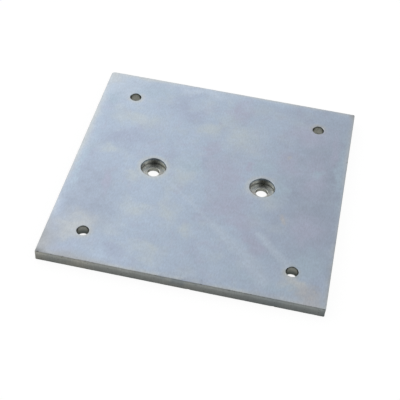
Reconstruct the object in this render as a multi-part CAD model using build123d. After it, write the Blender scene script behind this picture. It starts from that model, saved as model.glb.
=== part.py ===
from build123d import *
import os

# A square steel mounting plate with four plain corner holes and two sunk holes.
# The origin is the centre of the underside, the face that bears on what the plate is fixed to.
# X runs along the front edge, Y towards the back edge and Z up through the thickness.
# All lengths are in millimetres.

# Sizes of the cut plate
plate_width = 190.0
plate_depth = 190.0
plate_thickness = 8.0
corner_radius = 0.8
worn_corner_radius = 2.0
edge_break = 0.4

# Sizes of the four corner holes, each a clear fit on an 8 mm screw
corner_hole_diameter = 8.4
corner_hole_inset = 25.0
corner_hole_chamfer = 0.2

# Sizes of the two sunk holes, whose pockets hide the screw heads below the top face
sunk_hole_diameter = 8.4
sunk_hole_spacing = 78.0
sunk_hole_chamfer = 0.3
pocket_diameter = 18.0
pocket_mouth_chamfer = 0.3
pocket_nose_radius = 0.2
web_under_head = 3.0

# How far each cutter stands clear of the faces that it breaks through
cutter_overrun = 2.0


def corner_radii():
    """The radius of each upright corner, by its side: the back left one is worn rounder."""
    radii = {(x_side, y_side): corner_radius for x_side in (-1, 1) for y_side in (-1, 1)}
    radii[(-1, 1)] = worn_corner_radius
    return radii


def plate_blank():
    """The plate before drilling, with its corners dressed and the rims of both faces broken."""
    with BuildPart() as blank:
        with BuildSketch() as outline:
            Rectangle(plate_width, plate_depth)
            for (x_side, y_side), radius in corner_radii().items():
                corner = (x_side * plate_width / 2, y_side * plate_depth / 2)
                fillet(outline.vertices().sort_by_distance(corner)[0], radius)
        extrude(amount=plate_thickness)
        underside = blank.faces().sort_by(Axis.Z)[0]
        top_face = blank.faces().sort_by(Axis.Z)[-1]
        chamfer(underside.edges() + top_face.edges(), edge_break)
    return blank.part


def corner_hole_cutter():
    """What the drill takes out for one corner hole: straight through, with both mouths chamfered."""
    radius = corner_hole_diameter / 2
    mouth_radius = radius + corner_hole_chamfer + cutter_overrun
    with BuildPart() as cutter:
        with BuildSketch(Plane.XZ):
            with BuildLine():
                Polyline(
                    (0, -cutter_overrun),
                    (mouth_radius, -cutter_overrun),
                    (radius, corner_hole_chamfer),
                    (radius, plate_thickness - corner_hole_chamfer),
                    (mouth_radius, plate_thickness + cutter_overrun),
                    (0, plate_thickness + cutter_overrun),
                    close=True,
                )
            make_face()
        revolve(axis=Axis.Z)
    return cutter.part


def sunk_hole_cutter():
    """What the tools take out for one sunk hole: a flat-bottomed pocket over a smaller straight hole."""
    hole_radius = sunk_hole_diameter / 2
    hole_mouth_radius = hole_radius + sunk_hole_chamfer + cutter_overrun
    pocket_radius = pocket_diameter / 2
    pocket_mouth_radius = pocket_radius + pocket_mouth_chamfer + cutter_overrun
    with BuildPart() as cutter:
        with BuildSketch(Plane.XZ) as profile:
            with BuildLine():
                Polyline(
                    (0, -cutter_overrun),
                    (hole_mouth_radius, -cutter_overrun),
                    (hole_radius, sunk_hole_chamfer),
                    (hole_radius, web_under_head),
                    (pocket_radius, web_under_head),
                    (pocket_radius, plate_thickness - pocket_mouth_chamfer),
                    (pocket_mouth_radius, plate_thickness + cutter_overrun),
                    (0, plate_thickness + cutter_overrun),
                    close=True,
                )
            make_face()
            pocket_corner = profile.vertices().sort_by_distance((pocket_radius, web_under_head))[0]
            fillet(pocket_corner, pocket_nose_radius)
        revolve(axis=Axis.Z)
    return cutter.part


def mounting_plate():
    """The finished plate: the blank less its corner holes and its two sunk holes."""
    corner_spacing_x = plate_width - 2 * corner_hole_inset
    corner_spacing_y = plate_depth - 2 * corner_hole_inset
    with BuildPart() as plate:
        add(plate_blank())
        with GridLocations(corner_spacing_x, corner_spacing_y, 2, 2):
            add(corner_hole_cutter(), mode=Mode.SUBTRACT)
        with Locations((-sunk_hole_spacing / 2, 0), (sunk_hole_spacing / 2, 0)):
            add(sunk_hole_cutter(), mode=Mode.SUBTRACT)
    return plate.part


os.makedirs("parts", exist_ok=True)
export_step(mounting_plate(), "parts/mounting_plate.step")
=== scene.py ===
# %% [markdown]
# # A mounting plate in zinc plated steel
#
# The real object is a square of steel plate, 190 mm on a side and 8 mm thick, drilled near its corners,
# sunk at two places on its middle line, and plated with zinc. Nothing on it is assembled, so this lesson
# is about one mesh with clean, softly broken edges, and about four finishes that the eye tells apart.
#
# The imported model holds the plate's true solid. It is loaded first, as a fixed frame: the origin is the
# centre of the underside, X runs along the front edge, Y to the back and Z up, in metres. The dressed
# plate must stay inside the solid's box.

import math
from functools import partial

import bmesh
import bpy
from mathutils import Matrix, Vector, geometry, noise


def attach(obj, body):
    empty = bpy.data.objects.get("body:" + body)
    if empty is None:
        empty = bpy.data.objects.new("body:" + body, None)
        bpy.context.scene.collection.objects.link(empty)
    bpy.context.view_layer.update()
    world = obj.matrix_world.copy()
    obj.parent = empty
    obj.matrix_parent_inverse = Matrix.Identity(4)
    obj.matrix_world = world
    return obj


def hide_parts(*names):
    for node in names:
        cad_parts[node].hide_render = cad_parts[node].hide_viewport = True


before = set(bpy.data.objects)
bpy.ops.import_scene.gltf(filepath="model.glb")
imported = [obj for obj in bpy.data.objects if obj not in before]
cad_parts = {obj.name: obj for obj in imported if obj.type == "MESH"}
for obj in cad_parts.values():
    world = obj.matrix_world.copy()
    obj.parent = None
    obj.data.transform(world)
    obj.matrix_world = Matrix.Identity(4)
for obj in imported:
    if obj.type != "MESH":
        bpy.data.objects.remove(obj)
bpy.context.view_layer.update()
print("nodes of the packed model:", sorted(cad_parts))

# %% [markdown]
# ## Sizes
#
# A maker thinks of a plate in millimetres, so the mesh is worked out in millimetres and turned into metres
# in one place, when it becomes a Blender mesh. These are the sizes that the solid has.

# %% Sizes of the plate, in millimetres
MM = 0.001

half_side = 95.0
thickness = 8.0
corner_radius = 0.8
worn_corner_radius = 2.0
rim_width = 0.4

corner_hole_radius = 4.2
corner_hole_offset = 70.0
corner_hole_chamfer = 0.2

sunk_hole_radius = 4.2
sunk_hole_offset = 39.0
sunk_hole_chamfer = 0.3
pocket_radius = 9.0
pocket_floor = 3.0
pocket_chamfer = 0.3
pocket_nose = 0.2

corner_hole_centres = [
    Vector((x_side * corner_hole_offset, y_side * corner_hole_offset))
    for x_side in (-1, 1)
    for y_side in (-1, 1)
]
sunk_hole_centres = [Vector((x_side * sunk_hole_offset, 0.0)) for x_side in (-1, 1)]
print("holes:", len(corner_hole_centres), "plain and", len(sunk_hole_centres), "sunk")

# %% [markdown]
# ## The camera
#
# The photograph looks down on the plate from the front and a little to the right, through a long lens held
# slightly askew. A camera is easiest to place in those words: how far round the object it stands, how
# high, how far away, and how much it is rolled. Each of these is one matrix, and their product places the
# camera. A Blender camera looks along its own minus Z.

# %% Camera at the photograph's angle
camera_azimuth = math.radians(8.32)
camera_elevation = math.radians(46.29)
camera_roll = math.radians(4.83)
camera_distance = 0.6759
camera_lens = 86.65
aim_slide_right = -0.00403
aim_slide_up = -0.01634


def camera_matrix():
    """Where the camera stands and how it is turned: read from the plate outwards, left to right."""
    on_the_plate = Matrix.Translation((0.0, 0.0, thickness * MM))
    round_it = Matrix.Rotation(camera_azimuth, 4, "Z")
    above_it = Matrix.Rotation(math.pi / 2 - camera_elevation, 4, "X")
    away = Matrix.Translation((aim_slide_right, aim_slide_up, camera_distance))
    askew = Matrix.Rotation(camera_roll, 4, "Z")
    return on_the_plate @ round_it @ above_it @ away @ askew


camera_data = bpy.data.cameras.new("camera")
camera_data.lens = camera_lens
camera_data.clip_start = 0.01
camera = bpy.data.objects.new("camera", camera_data)
camera.matrix_world = camera_matrix()
bpy.context.scene.collection.objects.link(camera)
bpy.context.scene.camera = camera
print("camera at", [round(value, 3) for value in camera.matrix_world.translation])

# %% [markdown]
# ## Helpers for shader nodes
#
# A material is a small graph, and a graph is easier to read when adding a node takes one line. The first
# helpers add any node, set its properties, and fill its inputs: a socket is linked, and a plain value is
# written in. A socket knows the tree that it belongs to, so the sums below need only their values. Colours
# are written as the numbers from 0 to 255 that a colour picker shows, and turned into linear values.

# %% Node helpers
def is_socket(value):
    """Whether a value comes out of another node."""
    return isinstance(value, bpy.types.NodeSocket)


def tree_of(*values):
    """The tree that the sockets among the values belong to."""
    return next(value.id_data for value in values if is_socket(value))


def fresh_tree(owner):
    """Switches on the nodes of a material or a world, and empties them."""
    owner.use_nodes = True
    owner.node_tree.nodes.clear()
    return owner.node_tree


def add_node(tree, kind, inputs=None, **settings):
    """Adds a node, sets its properties, and links or fills its inputs, given by name or by number."""
    node = tree.nodes.new(kind)
    for name, value in settings.items():
        setattr(node, name, value)
    for name, value in (inputs or {}).items():
        if is_socket(value):
            tree.links.new(value, node.inputs[name])
        else:
            node.inputs[name].default_value = value
    return node


def is_number(value):
    """Whether a value is one number, and not a vector or a colour."""
    return value.type == "VALUE" if is_socket(value) else isinstance(value, (int, float))


def sum_of(operation, *values, clamp=False):
    """One Math node, its inputs in order, or a Vector Math node if one of them isn't a number."""
    tree = tree_of(*values)
    inputs = dict(enumerate(values))
    if all(map(is_number, values)):
        return add_node(tree, "ShaderNodeMath", inputs, operation=operation, use_clamp=clamp).outputs[0]
    node = add_node(tree, "ShaderNodeVectorMath", inputs, operation=operation)
    return node.outputs["Value" if operation in ("DOT_PRODUCT", "LENGTH") else "Vector"]


plus = partial(sum_of, "ADD")
minus = partial(sum_of, "SUBTRACT")
times = partial(sum_of, "MULTIPLY")
over = partial(sum_of, "DIVIDE")
times_plus = partial(sum_of, "MULTIPLY_ADD")
larger = partial(sum_of, "MAXIMUM")
smaller = partial(sum_of, "MINIMUM")
without_sign = partial(sum_of, "ABSOLUTE")
length_of = partial(sum_of, "LENGTH")
dot_product = partial(sum_of, "DOT_PRODUCT")


def scaled(vector, factor):
    """A vector or a colour, times a number."""
    inputs = {"Vector": vector, "Scale": factor}
    return add_node(tree_of(vector), "ShaderNodeVectorMath", inputs, operation="SCALE").outputs["Vector"]


def parts_of(vector):
    """The X, Y and Z of a vector, as the outputs of one node."""
    return add_node(tree_of(vector), "ShaderNodeSeparateXYZ", {0: vector}).outputs


def eased(value, start, end, low=0.0, high=1.0):
    """Goes softly from low to high while the value goes from start to end, and stays level outside."""
    inputs = {"Value": value, "From Min": start, "From Max": end, "To Min": low, "To Max": high}
    node = add_node(tree_of(value), "ShaderNodeMapRange", inputs, interpolation_type="SMOOTHSTEP")
    return node.outputs["Result"]


def cloud_noise(place, size, detail=2.0, distortion=0.0):
    """Soft noise between 0 and 1 whose blobs are about as large as the given size."""
    inputs = {"Vector": place, "Scale": 1.0 / size, "Detail": detail, "Distortion": distortion}
    return add_node(tree_of(place), "ShaderNodeTexNoise", inputs).outputs["Fac"]


def mixed(factor, first, second):
    """The first colour where the factor is 0 and the second where it is 1."""
    inputs = {0: factor, 6: first, 7: second}
    return add_node(tree_of(factor), "ShaderNodeMix", inputs, data_type="RGBA").outputs[2]


def mixed_shaders(factor, first, second):
    """The first shader where the factor is 0 and the second where it is 1."""
    return add_node(tree_of(factor), "ShaderNodeMixShader", {0: factor, 1: first, 2: second}).outputs[0]


def linear(channel):
    """One channel of a colour, from 0 to 255 as a colour picker shows it, as a linear value."""
    share = channel / 255.0
    return share / 12.92 if share <= 0.04045 else ((share + 0.055) / 1.055) ** 2.4


def shade(red, green, blue):
    """A colour for a node's socket."""
    return (linear(red), linear(green), linear(blue), 1.0)


white = (1.0, 1.0, 1.0, 1.0)
print("a mid grey of 128 is", round(linear(128), 3), "in linear light")

# %% [markdown]
# ## The floor
#
# A white floor in a render has two jobs that pull apart. To the camera it should be nearly white, with a
# faint shadow. To the metal it should be a mid grey, because the front edge mirrors the floor, and in the
# photograph that edge is far darker than the white around it. The Light Path node tells the two kinds of
# ray apart. Each floor is an even glow plus a little matt grey, which takes the shadow. Seen from below,
# the floor lets the camera through.

# %% Floor
floor_half_size = 4.0
floor_gap = 0.0001
seen_matt = 0.13
seen_glow = 0.92
mirrored_matt = 0.14
mirrored_glow = 0.40
mirrored_white = (1.0, 1.0, 0.99, 1.0)


def floor_mesh():
    """A wide flat square, just under the plate."""
    corners = [(-1, -1), (1, -1), (1, 1), (-1, 1)]
    places = [(x * floor_half_size, y * floor_half_size, -floor_gap) for x, y in corners]
    mesh = bpy.data.meshes.new("floor")
    mesh.from_pydata(places, [], [(0, 1, 2, 3)])
    return mesh


def matt_and_glow(tree, grey, colour, strength):
    """An even glow with a little matt grey in it."""
    matt = add_node(tree, "ShaderNodeBsdfDiffuse", {"Color": (grey, grey, grey, 1.0)})
    glow = add_node(tree, "ShaderNodeEmission", {"Color": colour, "Strength": strength})
    return add_node(tree, "ShaderNodeAddShader", {0: matt.outputs[0], 1: glow.outputs[0]}).outputs[0]


def floor_material():
    """Nearly white to the camera, mid grey to everything that mirrors it."""
    material = bpy.data.materials.new("white_floor")
    tree = fresh_tree(material)
    to_camera = add_node(tree, "ShaderNodeLightPath").outputs["Is Camera Ray"]
    underneath = add_node(tree, "ShaderNodeNewGeometry").outputs["Backfacing"]
    seen = matt_and_glow(tree, seen_matt, white, seen_glow)
    mirrored = matt_and_glow(tree, mirrored_matt, mirrored_white, mirrored_glow)
    either = mixed_shaders(to_camera, mirrored, seen)
    clear = add_node(tree, "ShaderNodeBsdfTransparent").outputs[0]
    add_node(tree, "ShaderNodeOutputMaterial", {"Surface": mixed_shaders(underneath, either, clear)})
    return material


floor = bpy.data.objects.new("floor", floor_mesh())
floor.data.materials.append(floor_material())
bpy.context.scene.collection.objects.link(floor)
print("floor is", floor_half_size * 2, "m across")

# %% [markdown]
# ## The light
#
# Bare metal shows its surroundings more than its own colour. The plate is brightest at the far left, so
# the left half of the room is lit. A weaker light high at the right reaches the left walls of the sunk
# holes, and the dim front of the room and the dim horizon leave their far walls dark. Instead of a picture
# of a studio, the world gets a few sums: the nearer a ray's direction is to that of a light, the brighter
# the world. One broad lamp at the left adds the soft shadow. The standard view transform keeps the pale
# plate pale.

# %% World and lamp
soft_light_direction = Vector((-0.86, 0.47, -0.20)).normalized()
fill_light_direction = Vector((0.80, -0.10, 0.60)).normalized()
dim_front_direction = Vector((0.10, -0.68, 0.72)).normalized()
room_strength = 0.53
soft_light_strength = 0.99
fill_light_strength = 0.50
dim_front_share = 0.86
dim_horizon_share = 0.55
backdrop_strength = 0.96
lamp_place = (-1.0, 0.5, 1.0)
lamp_size = 0.9
lamp_watts = 2.0


def studio_world():
    """A pale room, bright at the back left and dimmer in front. The camera sees plain white."""
    world = bpy.data.worlds.new("studio")
    tree = fresh_tree(world)
    direction = add_node(tree, "ShaderNodeTexCoord").outputs["Generated"]
    to_light = dot_product(direction, tuple(soft_light_direction))
    to_fill = dot_product(direction, tuple(fill_light_direction))
    to_front = dot_product(direction, tuple(dim_front_direction))
    light = eased(to_light, 0.18, 0.45, room_strength, soft_light_strength)
    fill = eased(to_fill, 0.55, 0.90, 0.0, fill_light_strength)
    front = eased(to_front, 0.70, 0.99, 1.0, 1.0 - dim_front_share)
    horizon = eased(parts_of(direction)["Z"], 0.02, 0.40, 1.0 - dim_horizon_share, 1.0)
    strength = times(plus(light, fill), times(front, horizon))
    room = add_node(tree, "ShaderNodeBackground", {"Color": white, "Strength": strength})
    plain = add_node(tree, "ShaderNodeBackground", {"Color": white, "Strength": backdrop_strength})
    to_camera = add_node(tree, "ShaderNodeLightPath").outputs["Is Camera Ray"]
    either = mixed_shaders(to_camera, room.outputs[0], plain.outputs[0])
    add_node(tree, "ShaderNodeOutputWorld", {"Surface": either})
    return world


def soft_lamp(name):
    """A square lamp that looks at the plate. The camera doesn't see it."""
    data = bpy.data.lights.new(name, "AREA")
    data.shape = "SQUARE"
    data.size = lamp_size
    data.energy = lamp_watts
    lamp = bpy.data.objects.new(name, data)
    lamp.location = lamp_place
    lamp.rotation_mode = "QUATERNION"
    lamp.rotation_quaternion = Vector(lamp_place).to_track_quat("Z", "Y")
    lamp.visible_camera = False
    bpy.context.scene.collection.objects.link(lamp)


bpy.context.scene.world = studio_world()
soft_lamp("soft_lamp")
bpy.context.scene.view_settings.view_transform = "Standard"
print("soft light comes from", [round(value, 2) for value in soft_light_direction])

# %% [markdown]
# ## A mesh made of rings
#
# A cube with Boolean holes and a bevel would give the plate's shape, but the fine marks of cutting and
# drilling would have nowhere to go. Everything on this plate is a closed path swept into a wall, so the
# mesh is a stack of rings: closed lines of points, joined by bands of four-sided faces that note their
# finish. The lower ring comes first. Seen from above, a ring runs counter-clockwise round solid metal and
# clockwise round a hole, so that all faces look out of the metal.

# %% Rings and bands
FACE, EDGE, POCKET, BORE = range(4)

points = []
faces = []
face_finishes = []


def add_ring(places):
    """Adds a closed ring of points and returns their numbers, in order."""
    first = len(points)
    points.extend(places)
    return list(range(first, len(points)))


def stack(rings, finishes):
    """Joins each ring to the next with a band of four-sided faces. Each band has its finish."""
    for lower, upper, finish in zip(rings, rings[1:], finishes):
        for here in range(len(lower)):
            after = (here + 1) % len(lower)
            faces.append((lower[here], lower[after], upper[after], upper[here]))
            face_finishes.append(finish)


def wobble(place, size, seed=0.0):
    """Smooth chance between about -1 and 1 that changes over the given size, the same on every run."""
    return noise.noise(Vector((place[0] / size + seed, place[1] / size - seed, place[2] / size)))


print("finishes:", FACE, EDGE, POCKET, BORE)

# %% [markdown]
# ## The outline
#
# Three corners of the real plate are nearly sharp and the back left one is worn rounder. The outline is
# walked counter-clockwise in short steps. Each step gives a point and the direction that looks straight
# out of the metal there, which is all that is needed to set anything in from the edge later.

# %% Walk round the outline
outline_step = 0.8
corner_parts = 8


def corner_arc(x_side, y_side):
    """The points of one corner, each with the direction that looks out of the metal."""
    radius = worn_corner_radius if (x_side, y_side) == (-1, 1) else corner_radius
    centre = Vector((x_side, y_side)) * (half_side - radius)
    first_angle = math.atan2(y_side, x_side) - math.pi / 4
    angles = [first_angle + math.pi / 2 * part / corner_parts for part in range(corner_parts + 1)]
    outwards = [Vector((math.cos(angle), math.sin(angle))) for angle in angles]
    return [(centre + outward * radius, outward) for outward in outwards]


def straight_run(start, end):
    """The points between two corners, without the two ends, which the corners have."""
    (first, outward), (last, _) = start, end
    count = max(2, round((last - first).length / outline_step))
    return [(first.lerp(last, part / count), outward) for part in range(1, count)]


def walk_outline():
    """All points round the plate, counter-clockwise from the front right corner."""
    arcs = [corner_arc(*sides) for sides in ((1, -1), (1, 1), (-1, 1), (-1, -1))]
    walk = []
    for arc, next_arc in zip(arcs, arcs[1:] + arcs[:1]):
        walk += arc + straight_run(arc[-1], next_arc[0])
    return walk


outline = walk_outline()
print("points round the outline:", len(outline))

# %% [markdown]
# ## The cut edge
#
# A guillotine leaves an edge in two bands. The blade first slides down the metal and leaves it smooth,
# and then the rest tears, so the lower part is a little rough and lies a hair's breadth further in. It
# also drags the top face down over the last few millimetres, which shows in the photograph as the pale
# band along the left and back edges.
#
# The section of the edge is worked out at each step of the outline, from the underside up. The rims are
# soft and uneven, because a file broke them by hand. A last step set in on both flat faces keeps their
# shading flat.

# %% Section of the cut edge
rim_parts = 4
support_width = 0.2
edge_rows = 12
smooth_band_foot = 5.3
torn_depth = 0.10
smooth_depth = 0.012
foot_wander = 0.45
tear_height = 0.5
roll_reach = 8.0
rolled_sides = [(-1, 0, 0.24), (0, 1, 0.28), (0, -1, 0.18), (1, 0, 0.03)]


def roll_off(x, y):
    """How far the blade has dragged the top face down at a place. Each side was a cut of its own."""
    gaps = [(half_side - x * x_side - y * y_side, depth) for x_side, y_side, depth in rolled_sides]
    return sum(depth * max(0.0, 1.0 - gap / roll_reach) ** 2 for gap, depth in gaps)


def rim_arc(width):
    """A quarter round, as (inset, height) steps from a flat face to the edge."""
    angles = [math.pi / 2 * part / rim_parts for part in range(rim_parts + 1)]
    return [(width * (1 - math.sin(angle)), width * (1 - math.cos(angle))) for angle in angles]


def torn_inset(place, height):
    """How far in the edge lies at a height: almost nothing in the smooth band, more where it tore."""
    spot = (place[0], place[1], height)
    foot = smooth_band_foot + foot_wander * wobble(spot, 7.0, 3.1)
    torn = min(1.0, max(0.0, (foot - height) / tear_height))
    fine = 0.5 + 0.5 * wobble(spot, 0.9, 5.7)
    coarse = 0.5 + 0.5 * wobble(spot, 3.5, 9.2)
    return smooth_depth * coarse + torn * torn_depth * (0.25 + 0.45 * fine + 0.3 * coarse)


def edge_section(place):
    """The (inset, height) steps of the edge at one place, from the underside up to the top face."""
    spot = (place[0], place[1], 0.0)
    lower_width = rim_width * (1.0 + 0.22 * wobble(spot, 5.0, 1.3))
    upper_width = rim_width * (1.0 + 0.30 * wobble(spot, 3.2, 7.9))
    lower = rim_arc(lower_width)
    upper = [(inset, thickness - height) for inset, height in reversed(rim_arc(upper_width))]
    room = thickness - lower_width - upper_width
    heights = [lower_width + room * row / edge_rows for row in range(1, edge_rows)]
    middle = [(torn_inset(place, height), height) for height in heights]
    first = (lower_width + support_width, 0.0)
    last = (upper_width + support_width, thickness)
    return [first, *lower, *middle, *upper, last]


print("steps in the edge's section:", len(edge_section((0.0, -half_side))))

# %% [markdown]
# A plate that has been handled has a few small nicks on its rims. Each is a dent with a place, a reach and
# a depth, and it pushes the points near it into the metal. Its last value is how strongly dirt and painted
# shade darken it. The photograph shows such marks on three of the corners and along the front rim, and a
# few more are put on the sides that it doesn't show.

# %% Nicks
nicks = [
    (-92.9, -94.9, 7.9, 0.8, 0.35, 1.0),
    (93.9, -95.0, 7.2, 0.9, 0.30, 0.6),
    (-87.0, -95.0, 8.0, 0.8, 0.10, 0.0),
    (-76.0, -95.0, 7.6, 0.9, 0.16, 0.3),
    (-61.0, -95.0, 7.6, 1.0, 0.16, 0.3),
    (-52.0, -95.0, 7.8, 0.8, 0.12, 0.0),
    (-18.0, -95.0, 7.8, 1.0, 0.12, 0.0),
    (7.0, -95.0, 0.4, 1.6, 0.25, 0.4),
    (33.0, -95.0, 7.8, 1.0, 0.12, 0.0),
    (62.0, -95.0, 0.5, 1.4, 0.22, 0.4),
    (95.0, 41.0, 8.0, 1.2, 0.22, 0.2),
    (94.6, 94.2, 7.8, 0.9, 0.25, 0.7),
    (-95.0, -12.0, 8.0, 1.2, 0.20, 0.2),
    (-95.0, 57.0, 0.3, 1.5, 0.25, 0.4),
    (26.0, 95.0, 8.0, 1.2, 0.22, 0.2),
    (-48.0, 95.0, 0.4, 1.4, 0.20, 0.4),
]
nick_slope = 0.4
rim_bands = 2


def dented(place, outward):
    """The place, pushed into the metal if a nick is near."""
    push = 0.0
    for x, y, z, reach, depth, _ in nicks:
        share = (place - Vector((x, y, z))).length / reach
        if share < 1.0:
            push += depth * (1.0 - share * share) ** 2
    inward = Vector((-outward.x, -outward.y, -nick_slope if place.z > thickness / 2 else nick_slope))
    return place + inward * push


def sweep_edge():
    """Sweeps the section round the outline. Returns the rings that bound the two flat faces."""
    columns = []
    for place, outward in outline:
        column = []
        for inset, height in edge_section(place):
            x, y = place - outward * inset
            height -= roll_off(x, y) * height / thickness
            column.append(dented(Vector((x, y, height)), outward))
        columns.append(column)
    rings = [add_ring(row) for row in zip(*columns)]
    between = edge_rows + 2 * (rim_parts + 1 - rim_bands)
    finishes = [FACE] * rim_bands + [EDGE] * between + [FACE] * rim_bands
    stack(rings, finishes)
    return rings[0], rings[-1]


outer_bottom, outer_top = sweep_edge()
print("faces on the cut edge:", len(faces))

# %% [markdown]
# ## The holes
#
# Anything made on a drill press is turned: one profile, spun round the axis of the tool. A profile is a
# list of steps, each a radius and a height, with the finish of the band that follows it. A drill leaves
# fine rings down the wall, and the cutter that sinks the pocket leaves coarser ones. They are real steps
# in the mesh, a few hundredths of a millimetre deep: enough for a raking light to draw them.

# %% Turned profiles
bore_row = 0.4
bore_mark = 0.015
floor_ring_pitch = 0.56
floor_ring_depth = 0.035
wall_ring_pitch = 0.72
wall_ring_depth = 0.03
chamfer_steps = [(1.0, 0.0), (0.86, 0.06), (0.5, 0.42), (0.08, 0.84), (0.0, 1.0)]


def evenly(start, end, step):
    """Values from start to end, about one step apart."""
    count = max(1, round(abs(end - start) / step))
    return [start + (end - start) * part / count for part in range(count + 1)]


def soft_chamfer(radius, width, face_height, into):
    """A chamfer with its two edges eased, from the flat face into the bore. into is 1 upwards, -1 down."""
    return [(radius + width * out, face_height + into * width * down) for out, down in chamfer_steps]


def marked_wall(radius, start, end, row, depth):
    """The steps of a bored wall, each a little in or out as the tool left it."""
    heights = evenly(start, end, row)[1:-1]
    return [(radius + depth * wobble((radius, 0.0, height), 0.31, 2.0), height) for height in heights]


def with_finish(steps, finish):
    """Adds the finish to each step."""
    return [(radius, height, finish) for radius, height in steps]


def corner_hole_profile():
    """One plain hole, from the underside up."""
    radius, width = corner_hole_radius, corner_hole_chamfer
    lower = soft_chamfer(radius, width, 0.0, 1)
    upper = soft_chamfer(radius, width, thickness, -1)[::-1]
    wall = marked_wall(radius, width, thickness - width, bore_row, bore_mark)
    support = radius + width + support_width
    below = with_finish([(support, 0.0)] + lower[:-1], FACE)
    bored = with_finish(lower[-1:] + wall, BORE)
    return below + bored + with_finish(upper + [(support, thickness)], FACE)


print("steps down a plain hole:", len(corner_hole_profile()))

# %% [markdown]
# The sunk hole's profile is longer: up the small bore, over its sharp inner edge, out across the floor
# ring by ring, round the small radius that the cutter's nose leaves, and up the wall to the mouth.

# %% Profile of a sunk hole
nose_parts = 4
inner_break = 0.12


def ridge(number, depth, spot, size, seed):
    """How high a step rises: a groove and a ridge in turn, none quite alike."""
    return depth * (0.6 + 0.4 * wobble(spot, size, seed)) * (number % 2)


def floor_rings(start, end):
    """The steps across the pocket's floor."""
    return [
        (radius, pocket_floor + ridge(number, floor_ring_depth, (radius, 4.0, 0.0), 0.8, 6.0))
        for number, radius in enumerate(evenly(start, end, floor_ring_pitch / 2))
    ]


def nose_arc():
    """The small radius between the pocket's floor and its wall."""
    angles = [math.pi / 2 * part / nose_parts for part in range(nose_parts + 1)]
    centre_radius, centre_height = pocket_radius - pocket_nose, pocket_floor + pocket_nose
    return [
        (centre_radius + pocket_nose * math.sin(angle), centre_height - pocket_nose * math.cos(angle))
        for angle in angles
    ]


def pocket_wall(start, end):
    """The steps up the pocket's wall, where the cutter paused and rubbed."""
    return [
        (pocket_radius - ridge(number, wall_ring_depth, (1.0, 4.0, height), 0.9, 8.0), height)
        for number, height in enumerate(evenly(start, end, wall_ring_pitch / 2)[1:-1])
    ]


def sunk_hole_profile():
    """One sunk hole, from the underside up."""
    lower = soft_chamfer(sunk_hole_radius, sunk_hole_chamfer, 0.0, 1)
    bore_top = pocket_floor - inner_break
    bore = marked_wall(sunk_hole_radius, sunk_hole_chamfer, bore_top, bore_row, bore_mark)
    bore.append((sunk_hole_radius, bore_top))
    sunk_floor = floor_rings(sunk_hole_radius + inner_break, pocket_radius - pocket_nose)[:-1]
    wall = pocket_wall(pocket_floor + pocket_nose, thickness - pocket_chamfer)
    mouth = soft_chamfer(pocket_radius, pocket_chamfer, thickness, -1)[::-1]
    support = sunk_hole_radius + sunk_hole_chamfer + support_width
    mouth_support = pocket_radius + pocket_chamfer + support_width
    below = with_finish([(support, 0.0)] + lower[:-1], FACE)
    turned = with_finish(lower[-1:] + bore, BORE) + with_finish(sunk_floor + nose_arc() + wall, POCKET)
    return below + turned + with_finish(mouth + [(mouth_support, thickness)], FACE)


print("steps through a sunk hole:", len(sunk_hole_profile()))

# %% [markdown]
# Spinning a profile is a matter of adding one ring for each of its steps. The rings run clockwise, so the
# faces look into the hole. Where a hand held countersink broke the mouth of a hole, the chamfer is a
# little wider on one side: its steps move by a few hundredths of a millimetre.

# %% Spin the profiles
corner_hole_parts = 96
pocket_parts = 128
mouth_lean = 0.05
upper_mouth = 0.3
lower_mouth = 0.2


def spin(centre, profile, parts, bore_radius):
    """Spins a profile round a centre. Returns its first ring, on the underside, and its last, on top."""
    rings = []
    for radius, height, _ in profile:
        outside = thickness - height < upper_mouth or height < lower_mouth
        places = []
        for part in range(parts):
            angle = -2.0 * math.pi * part / parts
            lean = mouth_lean * outside * (radius - bore_radius) * math.cos(angle + centre.x)
            x = centre.x + (radius + lean) * math.cos(angle)
            y = centre.y + (radius + lean) * math.sin(angle)
            places.append(Vector((x, y, height)))
        rings.append(add_ring(places))
    stack(rings, [finish for _, _, finish in profile])
    return rings[0], rings[-1]


hole_mouths = [
    spin(centre, corner_hole_profile(), corner_hole_parts, corner_hole_radius)
    for centre in corner_hole_centres
]
hole_mouths += [
    spin(centre, sunk_hole_profile(), pocket_parts, pocket_radius) for centre in sunk_hole_centres
]
print("faces with the holes:", len(faces))

# %% [markdown]
# ## The flat faces
#
# Two flat faces close the mesh, each a square with six round openings. Long thin triangles bake badly, so
# extra points are laid out: close together near the rims and further apart in the open. Blender's Delaunay
# triangulation joins rings and points with triangles as near to equal sided as they can be. Its output of
# kind 1 stops at the outer ring. A triangle whose corners are all on the ring of one opening lies inside
# that opening, so it is left out.

# %% Spread of points for the flat faces
grid_step = 6.0
edge_rows_of_points = [(0.5, 1.0), (1.3, 1.5), (2.3, 2.0), (3.5, 2.5), (5.0, 3.5), (6.8, 4.5), (9.0, 5.5)]
mouth_rows_of_points = [(0.5, 48), (1.6, 32), (3.6, 20)]
inside_outline = 1
merge_distance = 1e-5


def square_row(inset, step):
    """Points along a square set in from the plate's edge."""
    reach = half_side - rim_width - support_width - inset
    return [
        Vector((side * value, -side * reach)) if flat else Vector((side * reach, side * value))
        for side in (-1, 1)
        for flat in (True, False)
        for value in evenly(-reach, reach, step)[:-1]
    ]


def round_row(centre, radius, count):
    """Points on a circle round a hole."""
    angles = [2.0 * math.pi * part / count for part in range(count)]
    return [centre + Vector((math.cos(angle), math.sin(angle))) * radius for angle in angles]


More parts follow.
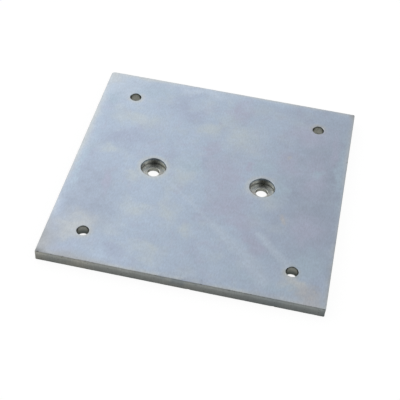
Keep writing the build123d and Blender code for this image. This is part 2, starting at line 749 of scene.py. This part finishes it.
def spread_points(mouths):
    """Points for a flat face. mouths are the centre and radius of each opening in it."""
    spread = [place for inset, step in edge_rows_of_points for place in square_row(inset, step)]
    for centre, radius in mouths:
        for outside, count in mouth_rows_of_points:
            spread += round_row(centre, radius + outside, count)
    clear_of_edge = half_side - edge_rows_of_points[-1][0] - grid_step * 0.6
    clear_of_mouth = mouth_rows_of_points[-1][0] + grid_step * 0.5
    for x in evenly(-clear_of_edge, clear_of_edge, grid_step):
        for y in evenly(-clear_of_edge, clear_of_edge, grid_step):
            place = Vector((x, y))
            if all((place - centre).length > radius + clear_of_mouth for centre, radius in mouths):
                spread.append(place)
    return spread


def mouth_of(ring):
    """The centre and the radius of an opening."""
    centre = sum((points[number].xy for number in ring), Vector((0.0, 0.0))) / len(ring)
    return centre, max((points[number].xy - centre).length for number in ring)


def fill_flat(outer, inner, height, looks_up):
    """Closes a flat face between its outer ring and the rings of the openings in it."""
    rings = [outer, *inner]
    numbers = [number for ring in rings for number in ring]
    edges = []
    for ring in rings:
        first = len(edges)
        edges += [(first + here, first + (here + 1) % len(ring)) for here in range(len(ring))]
    spread = spread_points([mouth_of(ring) for ring in inner])
    numbers += add_ring([
        Vector((*place, height - roll_off(*place) * height / thickness)) for place in spread
    ])
    flat = [points[number].xy for number in numbers]
    filled = geometry.delaunay_2d_cdt(flat, edges, [], inside_outline, merge_distance)
    triangles, origins = filled[2:4]
    openings = [set(ring) for ring in inner]
    for triangle in triangles:
        corners = [numbers[origins[corner][0]] for corner in triangle]
        if any(opening.issuperset(corners) for opening in openings):
            continue
        faces.append(tuple(corners if looks_up else corners[::-1]))
        face_finishes.append(FACE)


fill_flat(outer_top, [top for _, top in hole_mouths], thickness, True)
fill_flat(outer_bottom, [bottom for bottom, _ in hole_mouths], 0.0, False)
print("faces in all:", len(faces), "points:", len(points))

# %% [markdown]
# ## From lists to a mesh
#
# Here millimetres become metres. A mesh with a gap or a face turned the wrong way looks fine until it is
# baked or printed, so it is measured at once: every edge should have two faces, and the volume should be
# a little less than the solid's 284 cubic centimetres, because the marks take some away.

# %% Build the mesh
def build_piece(name):
    """The finished plate as one object, with one material index for each finish."""
    mesh = bpy.data.meshes.new(name)
    mesh.from_pydata([place * MM for place in points], [], faces)
    mesh.polygons.foreach_set("material_index", face_finishes)
    mesh.polygons.foreach_set("use_smooth", [True] * len(faces))
    mesh.update()
    piece = bpy.data.objects.new(name, mesh)
    bpy.context.scene.collection.objects.link(piece)
    return piece


def measure(mesh):
    """Prints how many edges lack two faces, the triangles, and the volume in cubic centimetres."""
    grid = bmesh.new()
    grid.from_mesh(mesh)
    open_edges = sum(not edge.is_manifold for edge in grid.edges)
    triangles = len(grid.calc_loop_triangles())
    volume = grid.calc_volume(signed=True) * 1e6
    grid.free()
    print("open edges:", open_edges, "triangles:", triangles, "volume:", round(volume, 2), "cm3")


plate = build_piece("finished_plate")
measure(plate.data)

# %% [markdown]
# ## Effects that the finishes share
#
# All four finishes are the same zinc over different tool marks, so most effects are wanted more than once.
# Each is a node group: a small graph with named inputs, placed in each material with its own values. It is
# made from a function that gets a socket for each of the group's inputs and returns one for each output.

# %% Make and use a node group
def make_group(name, build, inputs, outputs):
    """A node group. Each input has its usual value: a number, a vector, or None for a vector of noughts."""
    tree = bpy.data.node_groups.new(name, "ShaderNodeTree")
    for label, value in inputs.items():
        kind = "NodeSocketFloat" if isinstance(value, float) else "NodeSocketVector"
        socket = tree.interface.new_socket(label, in_out="INPUT", socket_type=kind)
        if value is not None:
            socket.default_value = value
    for label in outputs:
        tree.interface.new_socket(label, in_out="OUTPUT", socket_type="NodeSocketFloat")
    came_in = tree.nodes.new("NodeGroupInput").outputs
    leave = tree.nodes.new("NodeGroupOutput").inputs
    for label, result in zip(outputs, build(*[came_in[label] for label in inputs])):
        tree.links.new(result, leave[label])
    print("group:", name, [socket.name for socket in tree.interface.items_tree])
    return tree


def use(group, place, **values):
    """Places a group in the tree of a place and returns its outputs. cloud_size fills Cloud Size."""
    inputs = {"Place": place}
    for name, value in values.items():
        inputs[name.replace("_", " ").title()] = value
    return add_node(tree_of(place), "ShaderNodeGroup", inputs, node_tree=group).outputs


print("helpers for groups are ready")

# %% [markdown]
# ### Clouds in the plating
#
# After plating, the zinc is dipped in a passivating bath. The film it grows is thinner than a wave of
# light, so it tints the metal: faint violet where it is thin and straw where it is thicker, in clouds a
# few centimetres across. Two noises make the two masks, and a third gives an overall tone.

# %% Group: plating clouds
def clouds_graph(place, size, tone_depth):
    """Two masks for tints and a tone near 1, from a place in millimetres."""
    close = over(place, size)
    far = plus(close, (11.3, 4.7, 2.9))
    further = plus(close, (3.9, 17.1, 8.3))
    violet = eased(cloud_noise(close, 1.0, 3.0, 0.5), 0.50, 0.72)
    straw = eased(cloud_noise(far, 0.8, 3.0, 0.4), 0.52, 0.74)
    uneven = minus(cloud_noise(further, 0.6, 4.0, 0.2), 0.5)
    return violet, straw, times_plus(uneven, times(tone_depth, 4.0), 1.0)


cloud_inputs = {"Place": None, "Cloud Size": 30.0, "Tone Depth": 0.05}
plating_clouds = make_group("plating_clouds", clouds_graph, cloud_inputs, ["Violet", "Straw", "Tone"])

# %% [markdown]
# ### Grain
#
# Rolled steel is pickled before it is plated, and zinc grows over it in tiny crystals, so that even a
# smooth patch sparkles faintly. The finer of the two noises keeps close views from looking like plastic,
# and the larger is what shows at arm's length.

# %% Group: plating grain
def grain_graph(place, size, strength):
    """A value near 1 for colour, a value near 0 for roughness, and a height for a bump."""
    grained = over(place, size)
    rolled = times(grained, (1.0, 0.4, 1.0))
    fine = cloud_noise(grained, 0.45, 2.0)
    coarse = cloud_noise(plus(rolled, (5.0, 9.0, 2.0)), 1.1, 3.0)
    both = plus(times(fine, 0.4), times(coarse, 0.6))
    centred = minus(both, 0.5)
    return times_plus(centred, times(strength, 4.0), 1.0), times(centred, strength), both


grain_inputs = {"Place": None, "Grain Size": 1.0, "Strength": 0.05}
plating_grain = make_group("plating_grain", grain_graph, grain_inputs, ["Tone", "Spread", "Height"])

# %% [markdown]
# ### Soft patches and wipe marks
#
# Chance gives the right kind of clouds but never the same ones twice, and this plate has some that a
# buyer would know it by: a violet patch at the left, straw ones round the middle, rose ones at the right,
# and pale streaks where it was wiped. A patch is a soft oval with a place, half sizes and a turn. A streak
# is the soft neighbourhood of a line, and it widens from its start to its end.

# %% Groups: soft patch and wipe streak
def patch_graph(place, centre, half_sizes, turn):
    """A mask that is 1 in the middle of an oval and fades towards its rim."""
    inputs = {"Vector": minus(place, centre), "Angle": times(turn, -1.0)}
    turned = add_node(tree_of(place), "ShaderNodeVectorRotate", inputs, rotation_type="Z_AXIS")
    return [eased(length_of(over(turned.outputs["Vector"], half_sizes)), 1.35, 0.15)]


def streak_graph(place, start, end, start_width, end_width):
    """A mask along a line, soft across it."""
    along = minus(end, start)
    offset = minus(place, start)
    share = over(dot_product(offset, along), dot_product(along, along), clamp=True)
    away = length_of(minus(offset, scaled(along, share)))
    width = times_plus(minus(end_width, start_width), share, start_width)
    return [eased(over(away, width), 1.0, 0.1)]


origin = (0.0, 0.0, 0.0)
patch_inputs = {"Place": None, "Centre": origin, "Half Sizes": (10.0, 10.0, 1000.0), "Turn": 0.0}
line_inputs = {"Place": None, "Start": origin, "End": (10.0, 0.0, 0.0)}
streak_inputs = {**line_inputs, "Start Width": 2.0, "End Width": 4.0}
soft_patch = make_group("soft_patch", patch_graph, patch_inputs, ["Mask"])
wipe_streak = make_group("wipe_streak", streak_graph, streak_inputs, ["Mask"])

# %% [markdown]
# ### Pale rims
#
# Current crowds towards edges in a plating bath, so zinc lies thicker along the rims and round the mouths
# of holes, and the film is greyer and paler there, over two to four millimetres. The group measures how
# far a place is from the outline and from the nearest hole. All the holes are mirror images of two, so
# the signs are left off, and two distances are enough. A sunk hole is narrow underneath and wide on top,
# so its radius follows the height.

# %% Group: pale rims
def rims_graph(place, edge_reach, hole_reach):
    """Two masks that fade away from the plate's outline and from the mouths of its holes."""
    uneven = minus(cloud_noise(place, 5.0, 3.0), 0.5)
    folded = without_sign(place)
    parts = parts_of(folded)
    from_edge = minus(half_side, larger(parts["X"], parts["Y"]))
    flat = times(folded, (1.0, 1.0, 0.0))
    sunk_radius = eased(parts["Z"], 1.0, pocket_floor, sunk_hole_radius, pocket_radius)
    gaps = [
        minus(length_of(minus(flat, centre)), radius)
        for centre, radius in (
            ((corner_hole_offset, corner_hole_offset, 0.0), corner_hole_radius),
            ((sunk_hole_offset, 0.0, 0.0), sunk_radius),
        )
    ]
    from_hole = smaller(*gaps)
    return [
        eased(times_plus(uneven, 0.8, over(gap, reach)), 1.0, 0.15)
        for gap, reach in ((from_edge, edge_reach), (from_hole, hole_reach))
    ]


rim_inputs = {"Place": None, "Edge Reach": 4.0, "Hole Reach": 3.0}
pale_rims = make_group("pale_rims", rims_graph, rim_inputs, ["Edge", "Hole"])

# %% [markdown]
# ### Turned marks
#
# Between the rings that are modelled there are finer ones. They follow one number, such as the depth on a
# wall, in bands that are uneven in width and in weight. A little noise from the place itself breaks them
# along their length.

# %% Group: turned marks
def marks_graph(place, distance, pitch, strength):
    """A tone near 1 and a height for a bump, in bands along a distance in millimetres."""
    broken = times(cloud_noise(place, 2.5, 2.0), 0.5)
    inputs = {"W": plus(over(distance, pitch), broken), "Scale": 1.0, "Detail": 3.0}
    bands = add_node(tree_of(place), "ShaderNodeTexNoise", inputs, noise_dimensions="1D").outputs["Fac"]
    return times_plus(minus(bands, 0.5), times(strength, 3.0), 1.0), bands


mark_inputs = {"Place": None, "Distance": 0.0, "Pitch": 0.4, "Strength": 0.2}
turned_marks = make_group("turned_marks", marks_graph, mark_inputs, ["Tone", "Height"])

# %% [markdown]
# ## The finishes
#
# Each finish starts with a new material, the place on the plate in millimetres, clouds and grain. Object
# coordinates give the place, because the plate's mesh lies where the plate is.
#
# Each finish ends as a metal. Clean metal turns into a white mirror when it is seen at a glance, as the
# walls of the holes nearly always are, but their zinc is thin and dull. So each finish says how much of
# the glancing mirror is left. The finishes are made in the order of the numbers on the mesh's faces.

# %% Start and end of every finish
def start_finish(name, cloud_size, tone_depth, grain_size, grain_strength):
    """A new material. Returns it, the place on the plate in millimetres, its parts, clouds and grain."""
    material = bpy.data.materials.new(name)
    place = scaled(add_node(fresh_tree(material), "ShaderNodeTexCoord").outputs["Object"], 1.0 / MM)
    clouds = use(plating_clouds, place, cloud_size=cloud_size, tone_depth=tone_depth)
    grain = use(plating_grain, place, grain_size=grain_size, strength=grain_strength)
    return material, place, parts_of(place), clouds, grain


def end_finish(material, colour, roughness, heights, glance=1.0):
    """Makes the metal and puts the material on the plate. heights are (height, distance in mm) pairs.

    glance is how bright the metal stays when it is seen at a glance, from 0 to 1.
    """
    tree = material.node_tree
    bumps = {}
    for height, distance in heights:
        inputs = {"Height": height, "Distance": distance * MM, "Strength": 1.0, **bumps}
        bumps = {"Normal": add_node(tree, "ShaderNodeBump", inputs).outputs["Normal"]}
    inputs = {"Base Color": colour, "Metallic": 1.0, "Roughness": roughness, **bumps}
    inputs["Specular Tint"] = (glance, glance, glance, 1.0)
    metal = add_node(tree, "ShaderNodeBsdfPrincipled", inputs)
    add_node(tree, "ShaderNodeOutputMaterial", {"Surface": metal.outputs[0]})
    plate.data.materials.append(material)
    print("finish:", material.name)


def radius_in_pocket(place):
    """How far a place is from the axis of the nearest sunk hole."""
    offset = minus(without_sign(place), (sunk_hole_offset, 0.0, 0.0))
    return length_of(times(offset, (1.0, 1.0, 0.0)))


print("finish helpers are ready")

# %% [markdown]
# ### The films and stains of the plated face
#
# The film on the zinc has a handful of colours, all close together. The stains are in the order in which
# they are laid. Each patch is an x, a y, a half width and a half depth in millimetres, and an angle if it
# is turned. The rims have stretches of their own, bare, worn and grimy, each with a weight.

# %% Films and stains
zinc_blue = shade(196, 211, 230)
violet_film = shade(188, 199, 220)
rose_film = shade(195, 201, 221)
straw_film = shade(206, 217, 226)
teal_film = shade(193, 210, 226)
tan_film = shade(211, 217, 221)
brown_film = shade(204, 206, 211)
darker_patch_tone = shade(182, 193, 211)
worn_film = shade(186, 190, 195)
wiped_zinc = shade(207, 220, 236)
bare_zinc = shade(212, 219, 223)
warm_halo = shade(209, 211, 203)
# Grime on the rims, and the dirt and painted shade in the nicks.
grime_and_shade = shade(92, 92, 88)

stains = [
    # The first patches only darken the plate: at the left front, down the right side and along the front.
    (darker_patch_tone, [(-78, -46, 26, 50), (80, 5, 40, 95), (-10, -98, 90, 5)]),
    (wiped_zinc, [(-82, 78, 26, 24), (-20, 90, 30, 6)]),
    (violet_film, [
        (-66, 25, 19, 9, 0.1), (-32, 70, 9, 13, -0.2), (-45, -80, 8, 7), (-25, 60, 12, 9),
        (36, -46, 6, 13, 0.5), (-4, 14, 4, 11),
    ]),
    (rose_film, [
        (11, 74, 8, 13), (12, 4, 15, 22, 0.2), (20, -22, 17, 15, -0.6), (40, -52, 8, 14, 0.5),
        (52, 32, 10, 17, 0.1), (75, -32, 16, 15), (84, 50, 5, 22), (-65, -20, 4, 13), (27, 18, 5, 6),
        (-2, 30, 5, 11), (30, -36, 13, 9, -0.4), (62, 62, 18, 14), (72, 20, 10, 26),
    ]),
    (straw_film, [
        (-62, 48, 22, 10, -0.1), (18, 46, 16, 18, 0.3), (20, 40, 9, 8), (-8, 50, 11, 9), (-73, 9, 7, 5),
        (-42, -43, 14, 10), (-21, -40, 8, 15, 0.2), (-25, -76, 12, 9), (-4, -52, 8, 6),
        (-50, -10, 8, 6), (-18, 0, 9, 14), (48, -4, 8, 16),
    ]),
    (teal_film, [
        (-60, 78, 16, 9, 0.2), (-84, 64, 7, 9), (-89, -10, 3, 30), (93, 25, 5, 44), (53, 0, 5, 14),
        (72, 22, 7, 6), (80, -62, 14, 12, 0.5), (55, -84, 26, 6, -0.1), (35, 20, 7, 9), (-15, 8, 12, 9),
    ]),
    (tan_film, [(-76, -66, 14, 14), (72, -80, 11, 7, -0.4), (-94, 93, 12, 11), (-70, 96, 22, 5)]),
    (brown_film, [(83, -87, 11, 8, -0.3), (57, -26, 3, 4), (54, 36, 3, 3)]),
]
rim_stains = [
    (bare_zinc, 0.6, [(-96, 35, 6, 60), (-66, 97, 30, 7), (96, 35, 3.5, 70)]),
    (worn_film, 1.0, [(-97, -94, 13, 30, -0.2), (-78, -98, 36, 9), (94, 93, 4, 5)]),
    (grime_and_shade, 0.26, [(-97, -95, 8, 9), (-97, -76, 6, 20), (99, -74, 6, 20)]),
    (grime_and_shade, 0.65, [(-98, -96, 13, 5)]),
]
streaks = [
    ((-29, -8), (-5, -28), 2.0, 2.4, 0.5),
    ((-5, -28), (12, -43), 2.4, 3.4, 0.35),
    ((12, -43), (20, -50), 4.0, 5.5, 0.75),
    ((20, -50), (38, -65), 5.5, 7.5, 0.65),
    ((38, -65), (52, -82), 7.5, 9.5, 0.7),
    ((44, -44), (66, -66), 4.0, 6.0, 0.75),
]
print("patches:", sum(len(patches) for *_, patches in stains + rim_stains), "streaks:", len(streaks))

# %% [markdown]
# A whole list of marks is turned into one mask by taking the largest of their masks. The height of a
# patch doesn't matter, but a nick is a spot on a rim, so it has a height too.

# %% Masks from lists of marks
patch_depth = 1000.0


def patches_mask(place, patches):
    """One mask for a whole list of soft patches."""
    mask = 0.0
    for x, y, half_width, half_depth, *turn in patches:
        half_sizes = (half_width, half_depth, patch_depth)
        angle = turn[0] if turn else 0.0
        patch = use(soft_patch, place, centre=(x, y, 0.0), half_sizes=half_sizes, turn=angle)
        mask = larger(mask, patch["Mask"])
    return mask


def nicks_mask(place):
    """One mask for the dirt and the painted shade in the nicks."""
    mask = 0.0
    for x, y, z, reach, _, dirt_and_shade in nicks:
        nick = use(soft_patch, place, centre=(x, y, z), half_sizes=(reach, reach, reach * 0.7))
        mask = larger(mask, times(nick["Mask"], dirt_and_shade))
    return mask


def streaks_mask(place):
    """One mask for the wipe marks, each with its own weight. They lie in the plane of the top face."""
    mask = 0.0
    for start, end, start_width, end_width, weight in streaks:
        widths = {"start_width": start_width, "end_width": end_width}
        streak = use(wipe_streak, place, start=(*start, thickness), end=(*end, thickness), **widths)
        mask = larger(mask, times(streak["Mask"], weight))
    return mask


def pushed_about(place, size, reach):
    """The place, moved by a soft noise, but not up or down."""
    inputs = {"Vector": place, "Scale": 1.0 / size, "Detail": 2.0}
    colour = add_node(tree_of(place), "ShaderNodeTexNoise", inputs).outputs["Color"]
    centred = minus(colour, (0.5, 0.5, 0.5))
    return plus(place, times(centred, (2.0 * reach, 2.0 * reach, 0.0)))


print("helpers for masks are ready")

# %% [markdown]
# ### The plated face
#
# The base is a cool, slightly blue grey. On it lie the clouds, the pale rims, and a warm halo round each
# plain hole, where the bath ran out and dried, with a fainter warm line along the outline, where hands and
# the file have worn the film. Then come the stains and the streaks, then the grain, and last the dirt and
# painted shade in the nicks.
#
# The stains lie on the top face only. Before they are placed, the place itself is pushed about by a noise,
# so that no patch has the edge of an oval, and another noise thins them here and there.

# %% The plated face
face_roughness = 0.36
wiped_roughness_change = -0.04
outline_share = 0.7
pale_rim_share = 0.85
worn_line_share = 0.35


def film_colour(place, clouds, blots):
    """The colours that the bath and the current leave: clouds, pale rims, halos and a worn line."""
    colour = zinc_blue
    for mask, film, weight in (
        (clouds["Violet"], violet_film, 0.6),
        (clouds["Straw"], straw_film, 0.6),
        (blots["Violet"], rose_film, 0.45),
        (blots["Straw"], straw_film, 0.35),
    ):
        colour = mixed(times(mask, weight), colour, film)
    rims = use(pale_rims, place, edge_reach=4.5, hole_reach=4.6)
    rim = larger(times(rims["Edge"], outline_share), rims["Hole"])
    colour = mixed(times(rim, pale_rim_share), colour, bare_zinc)
    halos = use(pale_rims, place, edge_reach=2.0, hole_reach=2.8)
    at_plain_hole = eased(radius_in_pocket(place), 15.0, 25.0)
    halo = times(halos["Hole"], at_plain_hole)
    worn_line = times(halos["Edge"], worn_line_share)
    return mixed(larger(halo, worn_line), colour, warm_halo)


def stained(colour, place, on_top):
    """The colour with the stains of the face and of its rims."""
    uneven_place = pushed_about(pushed_about(place, 15.0, 10.0), 4.0, 3.5)
    mottling = eased(cloud_noise(place, 6.0, 3.0), 0.36, 0.60, 0.72, 1.0)
    mottled = times(mottling, on_top)
    for film, patches in stains:
        colour = mixed(times(patches_mask(uneven_place, patches), mottled), colour, film)
    rim_place = pushed_about(place, 12.0, 4.0)
    for film, weight, patches in rim_stains:
        mask = times(patches_mask(rim_place, patches), times(on_top, weight))
        colour = mixed(mask, colour, film)
    return colour


def plated_face():
    """Zinc on the rolled faces of the plate."""
    material, place, parts, clouds, grain = start_finish("plated_face", 34.0, 0.036, 0.9, 0.13)
    on_top = eased(parts["Z"], thickness * 0.4, thickness * 0.6)
    blots = use(plating_clouds, place, cloud_size=11.0, tone_depth=0.034)
    colour = stained(film_colour(place, clouds, blots), place, on_top)
    streak = times(streaks_mask(pushed_about(place, 9.0, 1.2)), on_top)
    colour = mixed(streak, colour, wiped_zinc)
    for tone in (clouds["Tone"], blots["Tone"], grain["Tone"]):
        colour = scaled(colour, tone)
    # Dirt and painted shade in the nicks.
    colour = mixed(nicks_mask(place), colour, grime_and_shade)
    roughness = times_plus(streak, wiped_roughness_change, plus(grain["Spread"], face_roughness))
    end_finish(material, colour, roughness, [(grain["Height"], 0.012)])


plated_face()

# %% [markdown]
# ### The cut edge
#
# Zinc keeps poorly to torn steel, so the film is thin and greyish olive, with warmer and cooler clouds
# along the plate. Painted light makes it pale near the front left corner, and painted shade makes it dull
# towards the front right and on the sides that stood away from the light, and darker towards the foot all
# round. The smooth band on top is lighter. Fine upright scratches come from the blade: they are a noise
# that is stretched along Z. Dark specks sit near the two rims.

# %% The cut edge
edge_grey = shade(177, 181, 178)
edge_warm = shade(187, 183, 173)
edge_cool = shade(150, 160, 164)
edge_lit = shade(208, 204, 190)
edge_speck = shade(96, 94, 88)
scratch_sizes = (0.35, 0.35, 6.0)
speck_sizes = (1.8, 1.8, 0.8)
# Painted light near the front left corner, and painted shade where the sides stood away from the light.
lit_stretches = [(-95, -95, 9, 12), (-68, -95, 12, 4)]
shaded_stretches = [(62, -95, 38, 6), (-95, 30, 6, 50), (40, 95, 60, 6)]


def cut_edge():
    """Zinc on the four guillotined sides."""
    material, place, parts, clouds, grain = start_finish("cut_edge", 26.0, 0.06, 0.9, 0.10)
    height = parts["Z"]
    wavy = minus(cloud_noise(place, 6.0, 3.0), 0.5)
    smooth_band = eased(times_plus(wavy, 2.4, height), 4.9, 5.8)
    scratches = cloud_noise(over(place, scratch_sizes), 1.0, 3.0)
    specks = cloud_noise(over(place, speck_sizes), 1.0, 2.0)
    low = eased(height, 2.2, 0.2, 0.0, 0.10)
    high = eased(height, 7.2, 7.8, 0.0, 0.06)
    speck = eased(plus(plus(specks, low), high), 0.63, 0.72)

    colour = mixed(clouds["Violet"], edge_grey, edge_cool)
    colour = mixed(clouds["Straw"], colour, edge_warm)
    # Painted light and painted shade along the sides.
    colour = mixed(times(patches_mask(place, lit_stretches), 0.4), colour, edge_lit)
    colour = mixed(times(patches_mask(place, shaded_stretches), 0.45), colour, edge_cool)
    colour = scaled(colour, eased(smooth_band, 0.0, 1.0, 0.94, 1.04))
    # Painted shade: darker towards the foot, lighter towards the top.
    colour = scaled(colour, eased(height, 0.0, thickness, 0.74, 1.12))
    colour = scaled(colour, eased(scratches, 0.3, 0.7, 0.92, 1.06))
    colour = mixed(times(speck, 0.55), colour, edge_speck)
    colour = scaled(scaled(colour, clouds["Tone"]), grain["Tone"])
    # Dirt and painted shade in the nicks.
    colour = mixed(nicks_mask(place), colour, grime_and_shade)
    roughness = plus(grain["Spread"], eased(smooth_band, 0.0, 1.0, 0.52, 0.38))
    end_finish(material, colour, roughness, [(scratches, 0.05), (grain["Height"], 0.03)])


cut_edge()

# %% [markdown]
# ### The turned pockets and the drilled bores
#
# Little current reaches into a recess, so the pockets are greyer and darker than the face and stained,
# with painted shade in the corner between floor and wall. Towards the mouth the wall turns a darker, cool
# blue grey. The marks in a pocket follow the radius plus the height, which grows across the floor and on up
# the wall without a break. In a bore they follow the height alone.
#
# The plain holes have painted shade at the mouth and towards the foot, reaching less far up at the back of
# the plate. The short bores under the pockets have none.

# %% The turned pocket and the drilled bore
pocket_grey = shade(203, 205, 201)
pocket_olive = shade(194, 196, 183)
pocket_brown = shade(197, 192, 186)
pocket_cool = shade(140, 161, 182)
# The colour of the painted shade in the corner of each pocket.
pocket_corner_shade = shade(96, 98, 96)
pocket_roughness = 0.27
bore_grey = shade(184, 186, 178)
bore_dark = shade(166, 168, 154)
# The colour of the painted shade in the plain holes.
bore_shade = shade(97, 104, 103)
bore_roughness = 0.28


def turned_pocket():
    """Zinc on the floor and wall of the two pockets."""
    material, place, parts, clouds, grain = start_finish("turned_pocket", 9.0, 0.06, 0.7, 0.10)
    height = parts["Z"]
    radius = radius_in_pocket(place)
    from_corner = larger(minus(pocket_radius, radius), minus(height, pocket_floor))
    marks = use(turned_marks, place, distance=plus(radius, height), pitch=0.5, strength=0.45)
    mottling = eased(cloud_noise(place, 1.7, 3.0, 0.6), 0.32, 0.68, 0.74, 1.10)
    colour = mixed(clouds["Straw"], pocket_grey, pocket_olive)
    colour = mixed(times(clouds["Violet"], 0.8), colour, pocket_brown)
    colour = mixed(eased(height, 5.6, 7.3, 0.0, 0.9), colour, pocket_cool)
    # Painted shade in the corner between the floor and the wall.
    colour = mixed(eased(from_corner, 0.8, 0.1, 0.0, 0.8), colour, pocket_corner_shade)
    for tone in (marks["Tone"], grain["Tone"], mottling):
        colour = scaled(colour, tone)
    heights = [(marks["Height"], 0.04), (grain["Height"], 0.015)]
    end_finish(material, colour, plus(grain["Spread"], pocket_roughness), heights, glance=0.6)


def drilled_bore():
    """Zinc on the walls of the plain holes and of the small bores under the pockets."""
    material, place, parts, clouds, grain = start_finish("drilled_bore", 7.0, 0.08, 0.7, 0.10)
    height = parts["Z"]
    marks = use(turned_marks, place, distance=height, pitch=0.35, strength=0.30)
    at_plain_hole = eased(radius_in_pocket(place), 10.0, 20.0)
    # Painted shade: the walls of the plain holes darken towards the mouth and the foot, less far up at the
    # back.
    foot_top = eased(parts["Y"], -60.0, 60.0, 6.2, 3.2)
    shaded_foot = eased(minus(foot_top, height), 0.0, 4.7, 0.0, 0.85)
    shaded_mouth = eased(height, 6.2, 7.6, 0.0, 0.90)
    bore_shading = times(plus(shaded_foot, shaded_mouth), at_plain_hole)
    colour = mixed(clouds["Straw"], bore_grey, bore_dark)
    colour = mixed(bore_shading, colour, bore_shade)
    colour = scaled(scaled(colour, marks["Tone"]), grain["Tone"])
    heights = [(marks["Height"], 0.02), (grain["Height"], 0.01)]
    end_finish(material, colour, plus(grain["Spread"], bore_roughness), heights, glance=0.0)


turned_pocket()
drilled_bore()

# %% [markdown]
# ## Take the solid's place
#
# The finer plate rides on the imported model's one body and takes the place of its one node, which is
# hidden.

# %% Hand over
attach(plate, "root")
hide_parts("mounting_plate")
